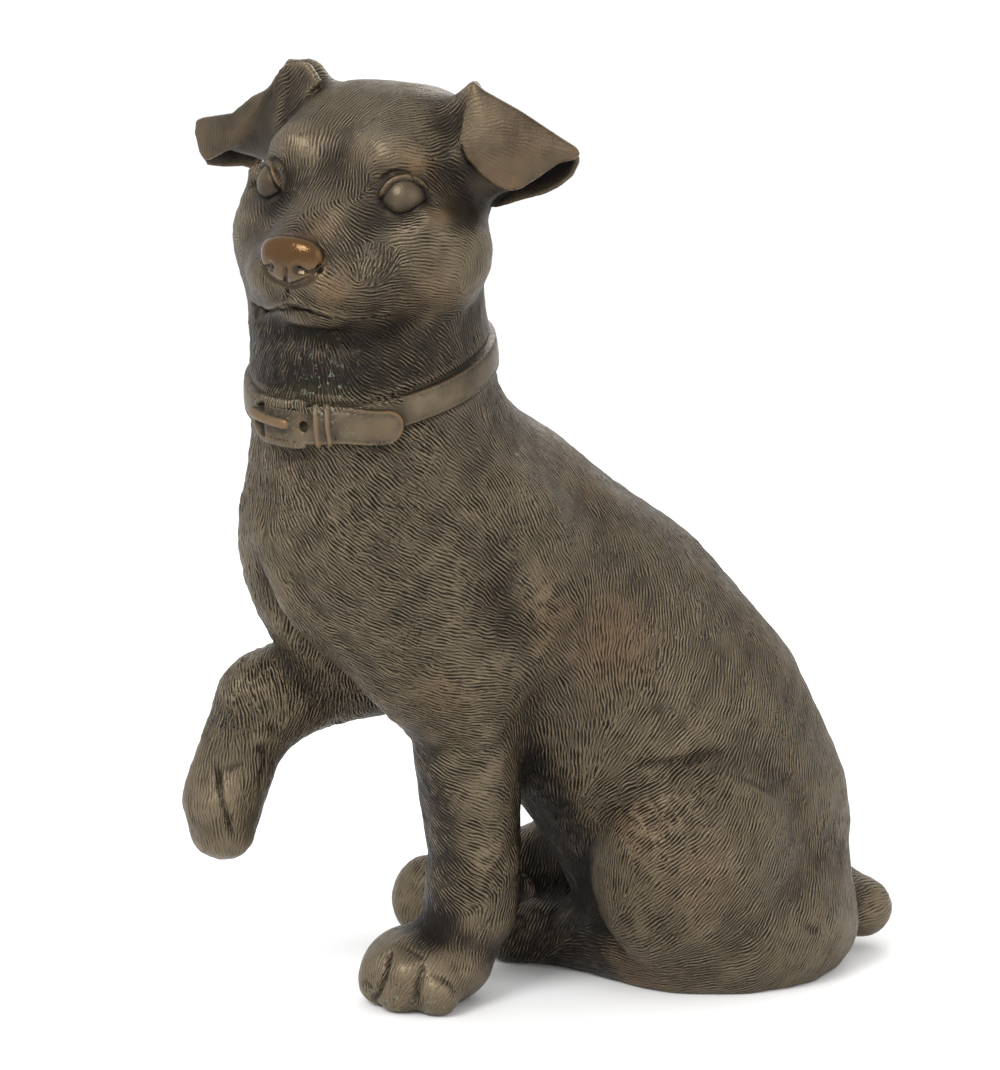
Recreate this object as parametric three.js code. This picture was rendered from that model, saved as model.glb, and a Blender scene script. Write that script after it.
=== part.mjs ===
import * as THREE from 'three';
import { triTable } from 'three/addons/objects/MarchingCubes.js';

// A seated terrier puppy in cast bronze, one forepaw raised, wearing a buckled collar.
// Millimetres, +Z up, the dog faces -Y and its left side is +X.
// Pose and carving are laid out in steps, shares of the statue's own height; at this size a step is 1 mm.
const statueHeight = 394; // ground to the top of the right ear
const heightInSteps = 394.1;
const step = statueHeight / heightInSteps;

// The collar is sized on its own, in millimetres
const strapWidth = 11.5;
const strapRise = 2.4; // how far the strap stands out of the coat
const tongueRise = 1.6; // the strap's free end lies on the strap
const tongueLength = 29; // from the keeper to the free end's tip
const keeperWidth = 5;
const keeperRise = 3.4;
const buckleLength = 27;
const buckleHeight = 19;
const buckleWire = 2; // radius of the buckle's bar

const cell = 2.25; // sculpting grid, in steps
const layers = [[0, 2.9], [215, 1.15], [292, 2]]; // from each height upward, the height of its cells
const facesWanted = 9500;

const at = (x, y, z) => new THREE.Vector3(x, y, z);

// Shapes: each gives the distance from (x, y, z) to its surface, negative inside

function ball(centre, radius) {
  const { x: cx, y: cy, z: cz } = centre;
  return (x, y, z) => Math.hypot(x - cx, y - cy, z - cz) - radius;
}

// An egg with three radii, turned by degrees about x, y and z
function egg(centre, radii, turn = [0, 0, 0]) {
  const euler = new THREE.Euler(...turn.map(THREE.MathUtils.degToRad), 'ZYX');
  const m = new THREE.Matrix4().makeRotationFromEuler(euler).transpose().elements;
  const { x: cx, y: cy, z: cz } = centre;
  const [rx, ry, rz] = radii;
  return (x, y, z) => {
    const dx = x - cx;
    const dy = y - cy;
    const dz = z - cz;
    const u = (m[0] * dx + m[4] * dy + m[8] * dz) / rx;
    const v = (m[1] * dx + m[5] * dy + m[9] * dz) / ry;
    const w = (m[2] * dx + m[6] * dy + m[10] * dz) / rz;
    const k0 = Math.sqrt(u * u + v * v + w * w);
    const k1 = Math.sqrt((u * u) / (rx * rx) + (v * v) / (ry * ry) + (w * w) / (rz * rz));
    return k1 < 1e-9 ? -Math.min(rx, ry, rz) : (k0 * (k0 - 1)) / k1;
  };
}

// A round limb from a to b, its radius running from ra to rb; squeeze narrows it sideways
function limb(a, b, ra, rb, squeeze = 1) {
  const ax = a.x / squeeze;
  const bx = b.x / squeeze - ax;
  const by = b.y - a.y;
  const bz = b.z - a.z;
  const l2 = bx * bx + by * by + bz * bz;
  const rr = ra - rb;
  const a2 = l2 - rr * rr;
  return (x, y, z) => {
    const px = x / squeeze - ax;
    const py = y - a.y;
    const pz = z - a.z;
    const along = px * bx + py * by + pz * bz;
    const past = along - l2;
    const qx = px * l2 - bx * along;
    const qy = py * l2 - by * along;
    const qz = pz * l2 - bz * along;
    const x2 = qx * qx + qy * qy + qz * qz;
    const y2 = along * along * l2;
    const z2 = past * past * l2;
    const k = Math.sign(rr) * rr * rr * x2;
    if (Math.sign(past) * a2 * z2 > k) return (Math.sqrt(x2 + z2) / l2 - rb) * squeeze;
    if (Math.sign(along) * a2 * y2 < k) return (Math.sqrt(x2 + y2) / l2 - ra) * squeeze;
    return ((Math.sqrt((x2 * a2) / l2) + along * rr) / l2 - ra) * squeeze;
  };
}

// A limb through several points
function chain(points, radii, squeeze = 1) {
  const parts = points.slice(1).map((p, i) => limb(points[i], p, radii[i], radii[i + 1], squeeze));
  return (x, y, z) => {
    let best = Infinity;
    for (const part of parts) best = Math.min(best, part(x, y, z));
    return best;
  };
}

// A triangle of skin with rounded edges
function panel(a, b, c, half) {
  const n = at(0, 0, 0).crossVectors(b.clone().sub(a), a.clone().sub(c));
  const n2 = n.lengthSq();
  const sides = [[a, b], [b, c], [c, a]].map(([p, q]) => {
    const e = q.clone().sub(p);
    return { p, e, out: e.clone().cross(n), l2: e.lengthSq() };
  });
  return (x, y, z) => {
    let inside = true;
    let best = Infinity;
    for (const { p, e, out, l2 } of sides) {
      const dx = x - p.x;
      const dy = y - p.y;
      const dz = z - p.z;
      if (dx * out.x + dy * out.y + dz * out.z < 0) inside = false;
      const t = Math.min(1, Math.max(0, (dx * e.x + dy * e.y + dz * e.z) / l2));
      best = Math.min(best, (dx - e.x * t) ** 2 + (dy - e.y * t) ** 2 + (dz - e.z * t) ** 2);
    }
    const h = (x - a.x) * n.x + (y - a.y) * n.y + (z - a.z) * n.z;
    return Math.sqrt(inside ? (h * h) / n2 : best) - half;
  };
}

// A ring of wire around an axis
function ring(centre, axis, radius, wire) {
  const n = axis.clone().normalize();
  return (x, y, z) => {
    const dx = x - centre.x;
    const dy = y - centre.y;
    const dz = z - centre.z;
    const h = dx * n.x + dy * n.y + dz * n.z;
    const r = Math.sqrt(Math.max(0, dx * dx + dy * dy + dz * dz - h * h));
    return Math.hypot(r - radius, h) - wire;
  };
}

// The figure: shapes put on and cut away in order, each blended over a width of its own
const figure = [];
const put = (shape, blend) => figure.push({ shape, blend, kind: 'put' });
const cut = (shape, blend) => figure.push({ shape, blend, kind: 'cut' });

// Torso
put(chain([at(0, -32, 199), at(2, 44, 141), at(8, 76, 100), at(14, 94, 62)], [60, 65, 67.5, 66], 0.79), 1);
put(egg(at(-2, -72, 196), [42, 40, 47], [12, 0, 0]), 16);
put(egg(at(24, 96, 22), [53, 62, 44]), 12);
put(limb(at(0, -40, 230), at(0, 2, 209), 22, 24), 22);

// Neck
put(limb(at(0, -55, 205), at(1, -62, 300), 53, 48, 0.98), 16);

// Chest and shoulders
put(egg(at(24, -54, 170), [25, 33, 58], [24, 0, 0]), 14);
put(egg(at(-20, -66, 170), [24, 32, 47], [24, 0, 0]), 14);
put(egg(at(38, -24, 178), [18, 32, 48], [-14, 0, 0]), 18);
put(egg(at(-36, -26, 178), [18, 32, 48], [-10, 0, 0]), 18);
cut(chain([at(0, -116, 190), at(0, -99, 168), at(0, -72, 144), at(0, -44, 120)], [3, 3, 3, 3]), 12);
cut(limb(at(66, -28, 196), at(63, -25, 164), 6, 6), 22);

// Left foreleg, standing
put(chain([at(26, -34, 150), at(20, -26, 120), at(18, -24, 92), at(18, -21, 62), at(16, -22, 38)],
  [27, 23, 21, 19.5, 20]), 10);
put(ball(at(16, 2, 44), 5), 6);
put(egg(at(14, -42, 15), [26, 28, 17]), 10);
for (const [x, y, r] of [[1, -51, 10], [10, -60, 11], [23, -58, 11], [34, -47, 10]]) {
  put(limb(at(x * 0.6 + 5, y * 0.7 - 10, 16), at(x, y, r - 1), r + 1, r), 3);
}

// Right foreleg, raised
put(chain([at(-36, -46, 138), at(-36, -72, 131), at(-36, -93, 125)], [25, 20.5, 20.5]), 10);
put(chain([at(-36, -91, 124), at(-36, -104, 107), at(-35, -113, 84), at(-34, -114, 72)], [19, 17, 17.5, 14]), 5);

// Left hind leg
put(egg(at(44, 73, 54), [35, 48, 54]), 3);

put(chain([at(22, 50, 18), at(-6, 36, 14), at(-22, 16, 14)], [18, 15, 14]), 6);

// Right hind leg
put(egg(at(-36, 84, 42), [32, 42, 46]), 6);
put(chain([at(-44, 62, 38), at(-60, 20, 29), at(-73, 6, 20)], [19, 15, 14]), 8);
put(egg(at(-75, 2, 18), [15, 17, 18.5]), 6);

// Tail
put(limb(at(18, 146, 26), at(27, 167, 17), 17, 13), 5);

// Head, in its own frame: x to the dog's left, y back, z up
const headAt = at(8, -58, 338);
const headDegrees = [0, 3, 30];
const headTurn = new THREE.Euler(...headDegrees.map(THREE.MathUtils.degToRad), 'ZYX');
const onHead = (x, y, z) => at(x, y, z).applyEuler(headTurn).add(headAt);
const headEgg = (x, y, z, radii, blend) => put(egg(onHead(x, y, z), radii, headDegrees), blend);
put(limb(onHead(-12, 4, 12), onHead(12, 4, 12), 35, 35), 10);
put(limb(at(0, -62, 296), onHead(0, 5, -10), 43, 36), 8);
for (const side of [1, -1]) headEgg(side * 24, -13, -18, [34, 31, 28], 10);
for (const side of [1, -1]) put(limb(onHead(side * 6, -26, -1), onHead(side * 5, -47, -18), 14, 11), 10);
for (const side of [1, -1]) headEgg(side * 12, -34, -29, [21, 27, 15], 11);
headEgg(0, -33, -41, [24, 26, 10.5], 3);
for (const side of [1, -1]) {
  headEgg(side * 20, -23, 19, [14, 13, 10], 12);
  cut(ball(onHead(side * 31, -45, 4), 11.5), 6);
  const outward = onHead(side * 30, -60, 6).sub(onHead(side * 20, -10, 0));
  put(ball(onHead(side * 30.2, -28.5, 4.5), 9.2), 0.5);
  put(ring(onHead(side * 30.4, -30, 4.5), outward, 9.4, 1.8), 2);
}
headEgg(0, -60.2, -21.2, [14.3, 7, 9.9], 1);
cut(chain([-33, -27, -19, -11, 0, 11, 19, 27, 33].map((x) => {
  return onHead(x, -65 + 0.03 * x * x, -39 - 0.2 * Math.min(25, Math.abs(x)));
}), Array(9).fill(0.6)), 3.5);

// Ears, folded over with their tips flying out
for (const side of [1, -1]) {
  const on = (x, y, z) => onHead(side * x, y, z);
  const left = side > 0;
  const top = left ? on(46, -3, 48) : on(45, -6, 50);
  const low = left ? on(57, -3, 7) : on(55, -9, 17);
  const tip = left ? on(85, 9, 25) : on(91, -3, 23);
  const corner = left ? on(82, 11, 16) : on(88, 0, 9);
  const back = left ? on(61, 8, 5) : on(59, -2, 7);
  const middle = left ? on(67, 8, 33) : on(68, -7, 28);
  put(limb(on(32, 3, 28), on(left ? 43 : 38, -1, left ? 44 : 47), 13, left ? 5 : 7), 6);
  put(panel(top, on(45, -11, 22), low, 3.2), 4);
  put(panel(top, low, middle, 3), 2);
  put(panel(middle, low, tip, 2.8), 2);
  put(panel(middle, back, corner, 2.8), 2);
  put(panel(top, back, middle, 2.8), 2);
  put(panel(middle, tip, corner, 2.6), 2);
  put(limb(on(40, 6, 20), on(55, 7, 9), 13, 6), 6);
}

// Collar, laid out round the neck: u along the strap, v across it, w out of the coat
const neckAxis = at(0, -60, 268);
const collarUp = at(0.187, -0.281, 1).normalize();
const neckRadius = 52;
const collarScale = 1 / step;
const box = (dx, dy, round) => {
  const x = dx + round;
  const y = dy + round;
  return Math.hypot(Math.max(x, 0), Math.max(y, 0)) + Math.min(Math.max(x, y), 0) - round;
};
const collar = [];
const wrap = (shape) => collar.push(shape);
const strapHalf = (strapWidth / 2) * collarScale;
const rise = strapRise * collarScale;
const tongue = tongueRise * collarScale;
const buckleAt = 23; // degrees round the neck from its front
const keeperAt = 45;
const arc = (degrees) => THREE.MathUtils.degToRad(degrees) * neckRadius;
wrap((u, v, w) => box(Math.abs(v) - strapHalf, w - rise, 0.8));
const tongueEnd = arc(keeperAt) + tongueLength * collarScale;
const tongueMid = (arc(buckleAt) + tongueEnd) / 2;
wrap((u, v, w) => {
  const flat = box(Math.abs(u - tongueMid) - (tongueEnd - tongueMid), Math.abs(v) - strapHalf - 0.6, strapHalf);
  return box(flat, w - rise - tongue, 0.8);
});
const keeperHalf = (keeperWidth / 2) * collarScale;
wrap((u, v, w) => {
  const flat = box(Math.abs(u - arc(keeperAt)) - keeperHalf, Math.abs(v) - strapHalf - 2, 1.5);
  return box(flat, w - rise - keeperRise * collarScale, 1);
});
const buckleHalf = [(buckleLength / 2) * collarScale, (buckleHeight / 2) * collarScale];
const wire = buckleWire * collarScale;
wrap((u, v, w) => {
  const x = Math.abs(u - arc(buckleAt)) - buckleHalf[0] + wire;
  const y = Math.abs(v) - buckleHalf[1] + wire;
  return box(Math.abs(box(x, y, 5)) - wire, w - rise - 0.8 - wire, 1.2);
});

function withCollar(x, y, z, d) {
  const dx = x - neckAxis.x;
  const dy = y - neckAxis.y;
  const dz = z - neckAxis.z;
  const v = dx * collarUp.x + dy * collarUp.y + dz * collarUp.z;
  if (d > 14 || Math.abs(v) > 24 || Math.hypot(dx, dy) > 74) return d;
  const u = Math.atan2(dx, -dy) * neckRadius;
  let best = d;
  for (const shape of collar) best = Math.min(best, shape(u, v, d));
  return best;
}

// The blended figure on a grid, worked out block by block with only the shapes that reach a block
const softMin = (a, b, k) => {
  const h = Math.max(k - Math.abs(a - b), 0);
  return Math.min(a, b) - (h * h) / (4 * k);
};

function figureAt(shapes, x, y, z) {
  let d = 1000;
  for (const { shape, blend, kind } of shapes) {
    const e = shape(x, y, z);
    d = kind === 'cut' ? -softMin(-d, e, blend) : softMin(d, e, blend);
  }
  return Math.max(withCollar(x, y, z, d), -z);
}

const gridLow = at(-118, -150, 0);
const gridHigh = at(100, 200, 410);
const heights = [-1.5 * layers[0][1], -0.5 * layers[0][1]]; // the ground lies midway between two layers
while (heights[heights.length - 1] < gridHigh.z) {
  const top = heights[heights.length - 1];
  const [, layer] = layers.filter(([from]) => top >= from).pop() ?? layers[0];
  heights.push(top + layer);
}
const nx = Math.ceil((gridHigh.x - gridLow.x) / cell) + 1;
const ny = Math.ceil((gridHigh.y - gridLow.y) / cell) + 1;
const nz = heights.length;
const node = (i, j, k) => i + nx * (j + ny * k);

function sampleFigure() {
  const values = new Float32Array(nx * ny * nz);
  const block = 8;
  const middle = (block - 1) / 2;
  for (let bk = 0; bk < nz; bk += block) {
    for (let bj = 0; bj < ny; bj += block) {
      for (let bi = 0; bi < nx; bi += block) {
        const cx = gridLow.x + (bi + middle) * cell;
        const cy = gridLow.y + (bj + middle) * cell;
        const top = Math.min(bk + block, nz) - 1;
        const cz = (heights[bk] + heights[top]) / 2;
        const reach = Math.hypot(middle * cell, middle * cell, (heights[top] - heights[bk]) / 2);
        const here = figure.map(({ shape }) => shape(cx, cy, cz));
        const nearest = Math.min(...here.filter((d, n) => figure[n].kind === 'put'));
        const far = nearest > reach + 30;
        const near = figure.filter(({ kind, blend }, n) => {
          const limit = kind === 'cut' ? 0 : Math.max(nearest, 0);
          return here[n] < limit + 2.2 * reach + blend + 4;
        });
        for (let k = bk; k < Math.min(bk + block, nz); k++) {
          for (let j = bj; j < Math.min(bj + block, ny); j++) {
            for (let i = bi; i < Math.min(bi + block, nx); i++) {
              const x = gridLow.x + i * cell;
              const y = gridLow.y + j * cell;
              const z = heights[k];
              values[node(i, j, k)] = far ? nearest : figureAt(near, x, y, z);
            }
          }
        }
      }
    }
  }
  return values;
}

// Closed triangle skin through the grid's zero surface
function skinOf(values) {
  const corners = [[0, 0, 0], [1, 0, 0], [1, 1, 0], [0, 1, 0], [0, 0, 1], [1, 0, 1], [1, 1, 1], [0, 1, 1]];
  const edges = [[0, 1], [1, 2], [2, 3], [3, 0], [4, 5], [5, 6], [6, 7], [7, 4], [0, 4], [1, 5], [2, 6], [3, 7]];
  const made = new Map();
  const points = [];
  const faces = [];
  const pointOn = (a, b) => {
    const [from, to] = a < b ? [a, b] : [b, a];
    const jump = to - from;
    const axis = jump === 1 ? 0 : jump === nx ? 1 : 2;
    const key = from * 3 + axis;
    if (made.has(key)) return made.get(key);
    const t = values[from] / (values[from] - values[to]);
    const share = Math.min(0.95, Math.max(0.05, t));
    const k = Math.floor(from / (nx * ny));
    const x = gridLow.x + ((from % nx) + (axis === 0 ? share : 0)) * cell;
    const y = gridLow.y + ((Math.floor(from / nx) % ny) + (axis === 1 ? share : 0)) * cell;
    const z = heights[k] + (axis === 2 ? share * (heights[k + 1] - heights[k]) : 0);
    points.push(x, y, z);
    made.set(key, points.length / 3 - 1);
    return points.length / 3 - 1;
  };
  for (let k = 0; k < nz - 1; k++) {
    for (let j = 0; j < ny - 1; j++) {
      for (let i = 0; i < nx - 1; i++) {
        const at8 = corners.map(([a, b, c]) => node(i + a, j + b, k + c));
        let code = 0;
        for (let c = 0; c < 8; c++) if (values[at8[c]] < 0) code |= 1 << c;
        if (code === 0 || code === 255) continue;
        for (let t = code * 16; triTable[t] !== -1; t += 3) {
          const [p, q, r] = [t, t + 1, t + 2].map((s) => {
            const [a, b] = edges[triTable[s]];
            return pointOn(at8[a], at8[b]);
          });
          faces.push(p, r, q);
        }
      }
    }
  }
  return { points, faces };
}

// Fewer faces: the edge whose loss changes the form least is closed up, over and over
function simplify(points, faces, wanted) {
  const count = points.length / 3;
  const around = Array.from({ length: count }, () => []);
  const alive = new Uint8Array(faces.length / 3).fill(1);
  const gone = new Uint8Array(count);
  const q = new Float64Array(count * 10);
  const stamp = new Int32Array(count);
  for (let f = 0; f < alive.length; f++) {
    const [a, b, c] = [faces[3 * f], faces[3 * f + 1], faces[3 * f + 2]];
    around[a].push(f);
    around[b].push(f);
    around[c].push(f);
    const ux = points[3 * b] - points[3 * a];
    const uy = points[3 * b + 1] - points[3 * a + 1];
    const uz = points[3 * b + 2] - points[3 * a + 2];
    const vx = points[3 * c] - points[3 * a];
    const vy = points[3 * c + 1] - points[3 * a + 1];
    const vz = points[3 * c + 2] - points[3 * a + 2];
    let x = uy * vz - uz * vy;
    let y = uz * vx - ux * vz;
    let z = ux * vy - uy * vx;
    const size = Math.hypot(x, y, z);
    if (size < 1e-12) continue;
    x /= size;
    y /= size;
    z /= size;
    const w = -(x * points[3 * a] + y * points[3 * a + 1] + z * points[3 * a + 2]);
    const plane = [x * x, x * y, x * z, x * w, y * y, y * z, y * w, z * z, z * w, w * w];
    for (const p of [a, b, c]) {
      for (let n = 0; n < 10; n++) q[10 * p + n] += (plane[n] * size) / 2;
    }
  }
  const spot = [0, 0, 0];
  const m = new Float64Array(10);
  const errorAt = (x, y, z) => m[0] * x * x + 2 * m[1] * x * y + 2 * m[2] * x * z + 2 * m[3] * x
    + m[4] * y * y + 2 * m[5] * y * z + 2 * m[6] * y + m[7] * z * z + 2 * m[8] * z + m[9];
  function plan(a, b) {
    for (let n = 0; n < 10; n++) m[n] = q[10 * a + n] + q[10 * b + n];
    const ax = points[3 * a];
    const ay = points[3 * a + 1];
    const az = points[3 * a + 2];
    const bx = points[3 * b];
    const by = points[3 * b + 1];
    const bz = points[3 * b + 2];
    const length2 = (ax - bx) ** 2 + (ay - by) ** 2 + (az - bz) ** 2;
    let x = (ax + bx) / 2;
    let y = (ay + by) / 2;
    let z = (az + bz) / 2;
    const c0 = m[4] * m[7] - m[5] * m[5];
    const c1 = m[2] * m[5] - m[1] * m[7];
    const c2 = m[1] * m[5] - m[2] * m[4];
    const det = m[0] * c0 + m[1] * c1 + m[2] * c2;
    const trace = m[0] + m[4] + m[7];
    if (det > 1e-5 * trace ** 3) {
      const sx = -(c0 * m[3] + c1 * m[6] + c2 * m[8]) / det;
      const sy = -(c1 * m[3] + (m[0] * m[7] - m[2] * m[2]) * m[6] + (m[1] * m[2] - m[0] * m[5]) * m[8]) / det;
      const sz = -(c2 * m[3] + (m[1] * m[2] - m[0] * m[5]) * m[6] + (m[0] * m[4] - m[1] * m[1]) * m[8]) / det;
      if ((sx - x) ** 2 + (sy - y) ** 2 + (sz - z) ** 2 < 4 * length2) [x, y, z] = [sx, sy, sz];
    }
    [spot[0], spot[1], spot[2]] = [x, y, z];
    return Math.max(0, errorAt(x, y, z)) + 2e-5 * length2 * trace;
  }
  const heap = [];
  const push = (entry) => {
    let i = heap.push(entry) - 1;
    while (i > 0) {
      const up = (i - 1) >> 1;
      if (heap[up].cost <= entry.cost) break;
      heap[i] = heap[up];
      i = up;
    }
    heap[i] = entry;
  };
  const pop = () => {
    const top = heap[0];
    const last = heap.pop();
    let i = 0;
    while (heap.length > 0) {
      let down = 2 * i + 1;
      if (down >= heap.length) break;
      if (down + 1 < heap.length && heap[down + 1].cost < heap[down].cost) down++;
      if (heap[down].cost >= last.cost) break;
      heap[i] = heap[down];
      i = down;
    }
    if (heap.length > 0) heap[i] = last;
    return top;
  };
  const offer = (a, b) => push({ a, b, mark: stamp[a] + stamp[b], cost: plan(a, b) });
  const neighbours = (p) => {
    const set = new Set();
    for (const f of around[p]) for (let n = 0; n < 3; n++) if (faces[3 * f + n] !== p) set.add(faces[3 * f + n]);
    return set;
  };
  const turnsOver = (p, other, x, y, z) => {
    for (const f of around[p]) {
      const ids = [faces[3 * f], faces[3 * f + 1], faces[3 * f + 2]];
      if (ids.includes(other)) continue;
      const i = ids.indexOf(p);
      const [b, c] = [ids[(i + 1) % 3], ids[(i + 2) % 3]];
      const ex = points[3 * c] - points[3 * b];
      const ey = points[3 * c + 1] - points[3 * b + 1];
      const ez = points[3 * c + 2] - points[3 * b + 2];
      const normal = (px, py, pz) => {
        const dx = px - points[3 * b];
        const dy = py - points[3 * b + 1];
        const dz = pz - points[3 * b + 2];
        return [ey * dz - ez * dy, ez * dx - ex * dz, ex * dy - ey * dx];
      };
      const [ox, oy, oz] = normal(points[3 * p], points[3 * p + 1], points[3 * p + 2]);
      const [mx, my, mz] = normal(x, y, z);
      const [was, is] = [Math.hypot(ox, oy, oz), Math.hypot(mx, my, mz)];
      const height = is / Math.hypot(ex, ey, ez);
      if (height < 0.25 || ox * mx + oy * my + oz * mz < 0.3 * was * is) return true;
    }
    return false;
  };
  for (let f = 0; f < alive.length; f++) {
    for (let n = 0; n < 3; n++) {
      const [a, b] = [faces[3 * f + n], faces[3 * f + ((n + 1) % 3)]];
      if (a < b) offer(a, b);
    }
  }
  let left = alive.length;
  while (left > wanted && heap.length > 0) {
    const { a, b, mark } = pop();
    if (gone[a] || gone[b] || mark !== stamp[a] + stamp[b]) continue;
    plan(a, b);
    const [x, y, z] = spot;
    const nearA = neighbours(a);
    let shared = 0;
    for (const p of neighbours(b)) if (nearA.has(p)) shared++;
    if (shared !== 2 || turnsOver(a, b, x, y, z) || turnsOver(b, a, x, y, z)) continue;
    [points[3 * a], points[3 * a + 1], points[3 * a + 2]] = [x, y, z];
    for (let n = 0; n < 10; n++) q[10 * a + n] += q[10 * b + n];
    gone[b] = 1;
    for (const f of around[b]) {
      const ids = [faces[3 * f], faces[3 * f + 1], faces[3 * f + 2]];
      if (ids.includes(a)) {
        alive[f] = 0;
        left--;
      } else {
        faces[3 * f + ids.indexOf(b)] = a;
        around[a].push(f);
      }
    }
    around[a] = around[a].filter((f) => alive[f]);
    for (const p of neighbours(a)) around[p] = around[p].filter((f) => alive[f]);
    stamp[a] += 1;
    for (const p of neighbours(a)) offer(Math.min(a, p), Math.max(a, p));
  }
  const renumbered = new Map();
  const keptPoints = [];
  const keptFaces = [];
  for (let f = 0; f < alive.length; f++) {
    if (!alive[f]) continue;
    for (let n = 0; n < 3; n++) {
      const p = faces[3 * f + n];
      if (!renumbered.has(p)) {
        renumbered.set(p, keptPoints.length / 3);
        keptPoints.push(points[3 * p], points[3 * p + 1], points[3 * p + 2]);
      }
      keptFaces.push(renumbered.get(p));
    }
  }
  return { points: keptPoints, faces: keptFaces };
}

const skin = skinOf(sampleFigure());
const light = simplify(skin.points, skin.faces, facesWanted);
for (let n = 2; n < light.points.length; n += 3) {
  if (Math.abs(light.points[n]) < 0.1) light.points[n] = 0;
}

const geometry = new THREE.BufferGeometry();
geometry.setAttribute('position', new THREE.Float32BufferAttribute(light.points, 3));
geometry.setIndex(light.faces);
geometry.scale(step, step, step);
geometry.computeBoundingBox();
const middle = geometry.boundingBox.getCenter(at(0, 0, 0));
geometry.translate(-middle.x, -middle.y, 0);

const bronze = new THREE.MeshStandardMaterial({ color: 0x5a4a38, roughness: 0.5, metalness: 0.8 });
const terrier = new THREE.Mesh(geometry, bronze);
terrier.name = 'terrier';
const statue = new THREE.Group();
statue.add(terrier);
export default statue;
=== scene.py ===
from math import cos, pi, radians, sin

import bmesh
import bpy
import numpy as np
from mathutils import Euler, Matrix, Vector
from mathutils.bvhtree import BVHTree
from mathutils.kdtree import KDTree


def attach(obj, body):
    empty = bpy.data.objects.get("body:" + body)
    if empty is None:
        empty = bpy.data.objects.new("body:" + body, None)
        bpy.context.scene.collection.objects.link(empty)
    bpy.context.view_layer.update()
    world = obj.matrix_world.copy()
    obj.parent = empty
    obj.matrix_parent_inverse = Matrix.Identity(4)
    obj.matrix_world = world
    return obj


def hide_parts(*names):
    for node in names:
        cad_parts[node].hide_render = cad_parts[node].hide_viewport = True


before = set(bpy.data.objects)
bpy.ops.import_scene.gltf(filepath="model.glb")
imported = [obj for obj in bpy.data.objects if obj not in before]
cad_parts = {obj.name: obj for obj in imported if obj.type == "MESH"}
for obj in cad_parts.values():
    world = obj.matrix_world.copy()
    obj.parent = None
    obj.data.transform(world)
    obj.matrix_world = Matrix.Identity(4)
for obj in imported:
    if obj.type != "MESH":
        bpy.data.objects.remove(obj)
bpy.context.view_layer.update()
mm = 0.001
tiny = 1e-6  # keeps a division from zero
offset = Vector((4.505, -24.67, 0.0))  # from the sculptor's frame to the part's, in mm


def place(x, y, z):  # sculptor's millimetres to metres in the part's frame
    return (Vector((x, y, z)) + offset) * mm


def mirrorBody(point):
    return Vector((2 * offset.x * mm - point.x, point.y, point.z))


# the head has a frame of its own: x to the dog's left, y back, z up, in mm from between its eyes and ears
headAt = place(8, -58, 338)
headTurn = Euler((0, radians(3), radians(30)), "XYZ").to_matrix()


def onHead(x, y, z):
    return headAt + headTurn @ Vector((x, y, z)) * mm


def inHead(point):
    return headTurn.transposed() @ (point - headAt) / mm


def mirrorHead(point):
    p = inHead(point)
    return onHead(-p.x, p.y, p.z)


# camera, at the photograph's own viewing angle
view = {
    "from": (1318.2, -671.6, 441.1), "to": (0, 0, 193.5),  # sculptor's mm
    "lens": 119.6, "sensor": 36,  # mm
    "width": 1000, "height": 1070,  # pixels of the photograph
}
cameraData = bpy.data.cameras.new("camera")
cameraData.lens = view["lens"]
cameraData.sensor_width = view["sensor"]
camera = bpy.data.objects.new("camera", cameraData)
bpy.context.scene.collection.objects.link(camera)
camera.location = place(*view["from"])
camera.rotation_euler = (place(*view["to"]) - camera.location).to_track_quat("-Z", "Y").to_euler()
bpy.context.scene.camera = camera
bpy.context.view_layer.update()
eyePoint = camera.location.copy()
eyeTurn = camera.matrix_world.to_3x3()


def sightLine(px, py):  # direction from the camera through a point of the photograph
    span = view["sensor"] / view["lens"] / view["height"]
    right, up = px - view["width"] / 2, view["height"] / 2 - py
    return (eyeTurn @ Vector((right * span, up * span, -1))).normalized()


def onPlane(px, py, centre, normal):  # where that sight line meets a plane
    ray = sightLine(px, py)
    return eyePoint + ray * ((centre - eyePoint).dot(normal) / ray.dot(normal))


# helpers for meshes as arrays of points
def inPicture(points):  # where points show in the photograph
    d = (points - np.array(eyePoint)) @ np.array(eyeTurn)
    scale = view["lens"] / view["sensor"] * view["height"] / np.minimum(d[:, 2], -tiny)
    return np.column_stack((view["width"] / 2 - d[:, 0] * scale, view["height"] / 2 + d[:, 1] * scale))


def readPoints(mesh):
    points = np.empty(len(mesh.vertices) * 3, np.float32)
    mesh.vertices.foreach_get("co", points)
    return points.reshape(-1, 3).astype(np.float64)


def writePoints(mesh, points):
    mesh.vertices.foreach_set("co", points.astype(np.float32).ravel())
    mesh.update()


def readEdges(mesh):
    edges = np.empty(len(mesh.edges) * 2, np.int32)
    mesh.edges.foreach_get("vertices", edges)
    return edges.reshape(-1, 2)


def readNormals(mesh):
    normals = np.empty(len(mesh.vertices) * 3, np.float32)
    mesh.vertices.foreach_get("normal", normals)
    return normals.reshape(-1, 3).astype(np.float64)


def average(values, edges):  # the mean over each point's neighbours
    count = len(values)
    a, b = edges[:, 0], edges[:, 1]
    n = np.maximum(np.bincount(a, minlength=count) + np.bincount(b, minlength=count), 1)
    flat = values.reshape(count, -1)
    out = np.empty_like(flat)
    for k in range(flat.shape[1]):
        out[:, k] = np.bincount(a, flat[b, k], count) + np.bincount(b, flat[a, k], count)
    return (out / n[:, None]).reshape(values.shape)


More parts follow.
